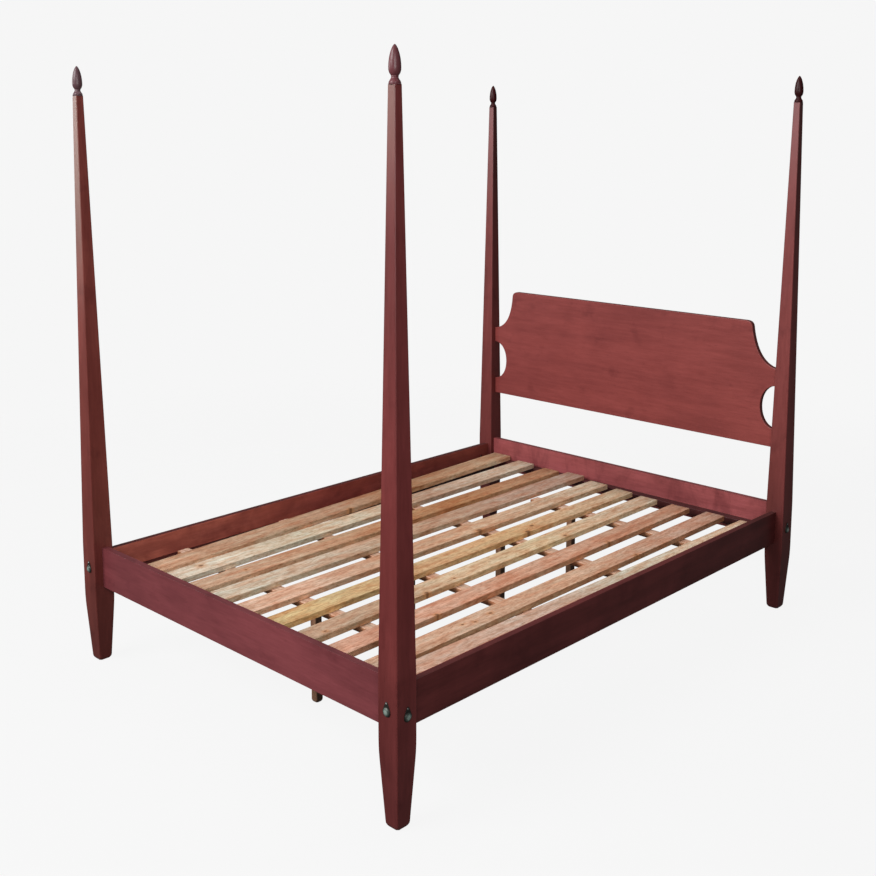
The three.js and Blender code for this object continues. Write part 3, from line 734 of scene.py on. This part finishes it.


# %% [markdown]
# ## Slats
# The ten slats run from foot to head. One pine for all would look like one long board cut up, so a
# table gives each its tones along the way and its knots. Their sawn edges are tinted browner from
# the first slat to the last, and each edge is made brighter or darker by a number of its own:
# painted light and shade that stand for how the edges are lit.

# %% Slats
SLATS = [  # tones from the foot to the head; knots as (along, across, radius) in metres
    (((180, 145, 120), (176, 140, 114), (170, 130, 104), (152, 108, 76), (182, 148, 120)),
     ((0.93, 0.042, 0.006),)),
    (((197, 180, 162), (200, 186, 164), (198, 176, 152), (176, 146, 126), (196, 174, 154)),
     ((0.18, -0.012, 0.007),)),
    (((174, 140, 116), (184, 146, 118), (178, 134, 100), (164, 114, 76), (172, 128, 98)),
     ((0.26, 0.0, 0.004),)),
    (((185, 170, 152), (182, 154, 132), (178, 146, 124), (176, 146, 130)), ()),
    (((196, 158, 136), (188, 150, 124), (194, 158, 130), (196, 172, 148)),
     ((1.09, 0.036, 0.008),)),
    (((186, 156, 112), (192, 160, 124), (198, 158, 116), (194, 166, 138)),
     ((1.26, 0.004, 0.007), (1.2, 0.034, 0.008))),
    (((166, 136, 114), (196, 168, 138), (198, 172, 138), (200, 174, 150)),
     ((0.12, 0.02, 0.004), (0.53, 0.034, 0.006), (0.68, 0.016, 0.004), (1.26, 0.026, 0.006))),
    (((192, 145, 123), (190, 146, 122), (182, 138, 114)),
     ((0.43, 0.036, 0.005), (1.31, 0.036, 0.005))),
    (((184, 152, 130), (194, 156, 130), (184, 144, 124)),
     ((0.55, -0.002, 0.005), (0.43, -0.006, 0.004), (0.47, 0.008, 0.004), (1.27, 0.034, 0.005))),
    (((178, 144, 126), (184, 158, 142), (194, 180, 160), (206, 176, 150)), ()),
]
EDGE_PAINTED_LIGHT = (1.5, 1.03, 1.2, 1.3, 1.1, 1.2, 1.3, 1.06, 0.85, 1.0)  # painted light: how bright each sawn edge is made
EDGE_SHADE_TINTS = np.linspace((0.96, 1.0, 0.99), (0.91, 0.83, 0.66), len(SLATS))  # painted shade: ever browner and darker
for number, (tones, knots) in enumerate(SLATS, 1):
    node = f"slat_{number}"
    piece = sawn_board(node + "_sawn", *board_ends(node))
    side = EDGE_PAINTED_LIGHT[number - 1] * EDGE_SHADE_TINTS[number - 1]
    dress(piece, pine_finish(f"pine_{number}", tones, side, number, knots), stands_for=node)
    print(piece.name, len(piece.data.polygons), "faces,", len(knots), "knots")


# %% [markdown]
# ## Cross slats and their legs
# Four boards of the same pine lie across the bed under the slats, and a square leg stands under
# each, near the middle of the bed. Little of the boards shows, so they share one finish. They are
# swept as the slats are, and the legs are eased copies of their solids.

# %% Cross slats and their legs
LEG_EASE = 1.0 * MM
# The cross slats' edges are painted dark, and darker towards the bottom, a painted shade under the
# slats.
cross_pine = pine_finish(
    "pine_cross", ((198, 164, 144), (190, 154, 132)), (0.6, 0.42, 0.3), 21, length=1.4,
    fade=(0.45, 1.12))
# The legs' tones are lifted over the shade under the slats, a painted light; `edge` paints shade on
# their X faces and `low` towards the floor.
leg_pine = stained("brown_leg", "Z", (156, 116, 90), (122, 88, 68), low=0.8, face="Y", edge=0.4)
for number in range(1, 5):
    node = f"cross_slat_{number}"
    piece = sawn_board(node + "_sawn", *board_ends(node))
    dress(piece, cross_pine, stands_for=node)
    leg = eased_copy(f"support_leg_{number}", leg_pine, LEG_EASE)
    print(piece.name, "on", leg.name)


# %% [markdown]
# ## Bolt covers
# A cover is a cast teardrop with a domed middle that hangs from one screw over the bolt's hole. It
# could be a plate and a squashed ball pushed into each other, but a casting is one skin. So it is
# made as rings round the dome: every ring is a scaled copy of the teardrop, and a formula lifts it
# to the plate's face, then to the bead and the dome.

# %% Shape of a cover
DOME = 12.3  # radius of the dome in mm
DROP = 22.0  # mm from the screw down to the dome's middle
ROUND, LOBE = 13.5, 5.0  # radii in mm of the teardrop's round end and of its tip round the screw
PLATE = 1.6  # thickness in mm at the flat part
DOME_RISE = 4.9  # mm from the plate's face to the top of the dome
HIGHLIGHT_RISE = 4.6  # mm over the plate's face from where the attribute relief, and with it the painted highlight, is full


def teardrop_reach(angle):
    """Distance in mm from the dome's middle to the teardrop's edge; angle 0 points to the screw.
    The edge is the round end's circle, then the straight line that touches both circles, and near
    angle 0 the circle of the tip."""
    lean = np.arcsin((ROUND - LOBE) / DROP)
    a = np.abs((angle + np.pi) % (2 * np.pi) - np.pi)
    flank = ROUND / np.cos(np.clip(np.pi / 2 - lean - a, -1.5, 1.5))
    inner = np.clip(LOBE ** 2 - (DROP * np.sin(a)) ** 2, 0, None)
    tip = DROP * np.cos(a) + np.sqrt(inner)
    touch = np.arctan2(LOBE * np.cos(lean), DROP + LOBE * np.sin(lean))
    return np.where(a > np.pi / 2 - lean, ROUND, np.where(a < touch, tip, flank))


def cover_height(rho, edge):
    """Height in mm over the plate's back at the distance rho from the dome's middle and `edge` from
    the rim: the flat plate, less a parabola at the rim, plus a narrow bell curve for the bead round
    the dome and a flattened parabola for the dome."""
    plate = PLATE - 0.7 * np.clip(1 - edge / 0.6, 0, 1) ** 2
    bead = 0.3 * np.exp(-((rho - DOME - 0.5) / 0.3) ** 2)
    dome = DOME_RISE * np.clip(1 - (rho / DOME) ** 2, 0, 1) ** 0.8
    return plate + bead + dome


up_and_down = teardrop_reach(np.array([0, np.pi]))
print("from the dome's middle a cover reaches", *up_and_down.round(1), "mm up and down")


# %% [markdown]
# ## Covers on their posts, and their screws
# The eight covers are one shape on four sides of the posts, and each swings about its own screw.
# Copies could be turned into place, but it is simpler to build each where it hangs: its distances
# to the side, up and out from the pivot become places. The screw's head stands over the cover and
# belongs to the post, so it stays put when the cover swings.

# %% Covers and their screws
def from_pivot(joint, aside, above, out):
    """Places in metres: the joint's pivot plus distances in mm to the side, up and out."""
    outward = np.array(joint["axis"], float)
    directions = np.stack([np.cross([0, 0, 1], outward), [0, 0, 1], outward])
    distances = np.stack(np.broadcast_arrays(aside, above, out), -1)
    return np.array(joint["pos_m"]) + MM * (distances @ directions)


def teardrop_cover(node, joint, around=96):
    """One closed cover. Its rings are circles over the dome, then run out evenly from the dome's
    foot to the teardrop's edge, and the last one is the edge again at the plate's back."""
    angle = np.linspace(0, 2 * np.pi, around, endpoint=False)
    reach = teardrop_reach(angle)
    inner = np.concatenate([np.linspace(0.04, 0.92, 12), [0.97, 0.99, 1.0]]) * DOME
    outer = np.array([0.1, 0.25, 0.4, 0.55, 0.75, 0.9, 0.96, 0.99, 1.0])
    rho = np.concatenate([
        np.repeat(inner[:, None], around, 1), DOME + outer[:, None] * (reach - DOME)])
    face = cover_height(rho, reach - rho)
    rho = np.concatenate([rho, reach[None]])
    face = np.concatenate([face, np.zeros((1, around))])
    rings = from_pivot(joint, rho * np.sin(angle), rho * np.cos(angle) - DROP, face)
    piece = closed_tube(node + "_cast", rings[::-1])
    relief = np.clip((face - PLATE) / HIGHLIGHT_RISE, 0, 1)[::-1]
    layer = piece.data.attributes.new("relief", "FLOAT", "POINT")
    layer.data.foreach_set("value", relief.astype(np.float32).ravel())
    return dress(piece, brass_finish, body=node, stands_for=node)


def cover_screw(name, joint):
    """A low round head over the cover's hole: rings about the pivot, up a short shank, out under
    the head and then in over a quarter of an ellipse."""
    shank, head, tip = 1.7, 3.4, 0.3  # radii in mm
    start, seat, rim, swell = 0.4, 1.9, 2.1, 1.5  # heights in mm, and the ellipse's half height
    angle = np.linspace(0, 2 * np.pi, 32, endpoint=False)
    turn = np.linspace(0, np.pi / 2, 7)[:-1]
    radius = np.concatenate([[shank, shank, head], head * 0.98 * np.cos(turn), [tip]])[:, None]
    height = np.concatenate([[start, seat, seat], rim + swell * np.sin(turn), [rim + swell]])
    rings = from_pivot(joint, radius * np.cos(angle), radius * np.sin(angle), height[:, None])
    return dress(closed_tube(name, rings), steel_finish)


for joint in frame["joints"]:
    cover = teardrop_cover(joint["child"], joint)
    screw = cover_screw(joint["child"] + "_screw", joint)
    print(cover.name, "hangs from", screw.name)


# %% [markdown]
# ## Floor
# A studio floor is a sheet of pale paper swept up behind the piece, so no horizon shows. A plane
# and a wall would need the light balanced on both, so here a disc glows evenly, takes a faint
# shadow and fades into the pale background at its rim.

# %% Floor
PALE = (0.922, 0.922, 0.922, 1)  # the glow of the floor and of the background behind it
SHADOW_SHARE = 0.03  # share of the floor that is plain paper, which a shadow can darken
FADE_START, FADE_END = 2.0, 5.0  # metres from the middle


def pale_floor(radius=14.0, sides=96):
    """A disc that mostly glows evenly and so takes only faint shadows; it turns clear at its rim."""
    angle = np.linspace(0, 2 * np.pi, sides, endpoint=False)
    rim = np.stack([radius * np.cos(angle), radius * np.sin(angle), np.zeros(sides)], -1)
    floor = new_piece("floor", rim, [list(range(sides))])
    finish = Finish(
        "pale_floor", Base_Color=(0.8, 0.8, 0.8, 1), Roughness=1.0, Specular_IOR_Level=0.0)
    glow = finish.add("Emission", {"Color": PALE}).outputs[0]
    face = finish.add("MixShader", {0: SHADOW_SHARE, 1: glow, 2: finish.shader.outputs[0]})
    place = finish.add("TexCoord").outputs["Object"]
    reach = finish.add("VectorMath", {0: place}, operation="LENGTH").outputs["Value"]
    fade = finish.add("MapRange", {
        "Value": reach, "From Min": FADE_START, "From Max": FADE_END},
        interpolation_type="SMOOTHERSTEP")
    clear = finish.add("BsdfTransparent")
    both = finish.add("MixShader", {0: fade.outputs[0], 1: face.outputs[0], 2: clear.outputs[0]})
    output = finish.tree.nodes["Material Output"]
    finish.put(output.inputs["Surface"], both.outputs[0])
    floor.data.materials.append(finish.material)
    floor.visible_diffuse = False
    floor.visible_glossy = False
    return floor


print(pale_floor().name, "fades out from", FADE_START, "to", FADE_END, "m")


# %% [markdown]
# ## Light
# Soft light comes from large bright areas, such as windows and white walls. Small lamps would throw
# hard shadows, so four panels are used. One at the foot lights the faces turned to the camera, one
# overhead lights the slats, one at the right keeps the shaded faces readable, and one far at the
# left gives the posts their pale sheen.

# %% Light
def soft_panel(name, place, target, size, power):
    """A rectangular area light at a place, facing a target."""
    light = bpy.data.lights.new(name, "AREA")
    light.shape = "RECTANGLE"
    light.size, light.size_y = size
    light.energy = power
    panel = bpy.data.objects.new(name, light)
    panel.location = place
    panel.rotation_euler = (Vector(target) - Vector(place)).to_track_quat("-Z", "Y").to_euler()
    bpy.context.scene.collection.objects.link(panel)
    return panel


PANELS = {  # place, target and size in metres, power in watts
    "foot_panel": ((-1.5, -6.0, 4.6), (0, 0, 0.5), (4.0, 3.0), 600),
    "ceiling_panel": ((-0.3, 0.2, 5.0), (0, 0, 0), (4.0, 4.0), 90),
    "side_panel": ((3.6, -3.4, 2.6), (-0.2, -1.4, 1.0), (1.6, 1.6), 125),
    "left_panel": ((-6.4, -4.2, 2.8), (-0.6, -0.8, 1.4), (2.4, 1.8), 120)}
for name, settings in PANELS.items():
    panel = soft_panel(name, *settings)
    print(panel.name, panel.data.energy, "W")


# %% [markdown]
# ## Background
# White walls all round a studio fill its shadows and stand behind the bed. Walls could be built, but
# the world does both jobs: it sheds a weak even light, and where it is seen directly it shows the
# same pale glow as the floor, so the floor's rim can't be told from it.

# %% Background
FILL = 0.1  # strength of the even light from all round
world = bpy.data.worlds.new("studio")
bpy.context.scene.world = world
world.use_nodes = True
sky = world.node_tree
ambient = sky.nodes["Background"]
ambient.inputs["Color"].default_value = (1.0, 1.0, 1.0, 1)
ambient.inputs["Strength"].default_value = FILL
backdrop = sky.nodes.new("ShaderNodeBackground")
backdrop.inputs["Color"].default_value = PALE
seen = sky.nodes.new("ShaderNodeLightPath")
either = sky.nodes.new("ShaderNodeMixShader")
sky.links.new(seen.outputs["Is Camera Ray"], either.inputs[0])
sky.links.new(ambient.outputs[0], either.inputs[1])
sky.links.new(backdrop.outputs[0], either.inputs[2])
sky.links.new(either.outputs[0], sky.nodes["World Output"].inputs["Surface"])
bpy.context.scene.view_settings.view_transform = "Standard"
print(world.name, "fills with", FILL, "and shows", PALE[:3])


# %% [markdown]
# ## Camera
# The bed is seen from a standing person's eye height, at its right foot corner. A constraint could
# aim the camera at a point, but it would leave out the slight roll. So the camera is given by its
# place and three angles, and the lens is shifted a little so that upright posts keep their lean.

# %% Camera
EYE = (2.7591, -2.9614, 1.7686)  # metres
YAW, PITCH, ROLL = 0.7536, 0.1540, 0.0036  # radians
LENS = 48.72  # focal length in mm on a sensor 36 mm wide
SHIFT = (-0.0180, -0.1377)  # shares of the picture's width


def camera_at(place, yaw, pitch, roll, lens, shift):
    """A camera by its place, its heading from +Y towards -X, its downward pitch and its roll."""
    aim = Vector((-np.sin(yaw) * np.cos(pitch), np.cos(yaw) * np.cos(pitch), -np.sin(pitch)))
    right = aim.cross(Vector((0, 0, 1))).normalized()
    up = right.cross(aim)
    across = np.cos(roll) * right + np.sin(roll) * up
    upward = np.cos(roll) * up - np.sin(roll) * right
    data = bpy.data.cameras.new("camera")
    data.lens = lens
    data.sensor_width = 36.0
    data.shift_x, data.shift_y = shift
    data.clip_end = 200
    camera = bpy.data.objects.new("camera", data)
    camera.matrix_world = Matrix.Translation(place) @ Matrix(
        (across, upward, -aim)).transposed().to_4x4()
    bpy.context.scene.collection.objects.link(camera)
    bpy.context.scene.camera = camera
    return camera


camera = camera_at(EYE, YAW, PITCH, ROLL, LENS, SHIFT)
print(camera.name, "at", EYE, "with a lens of", LENS, "mm")
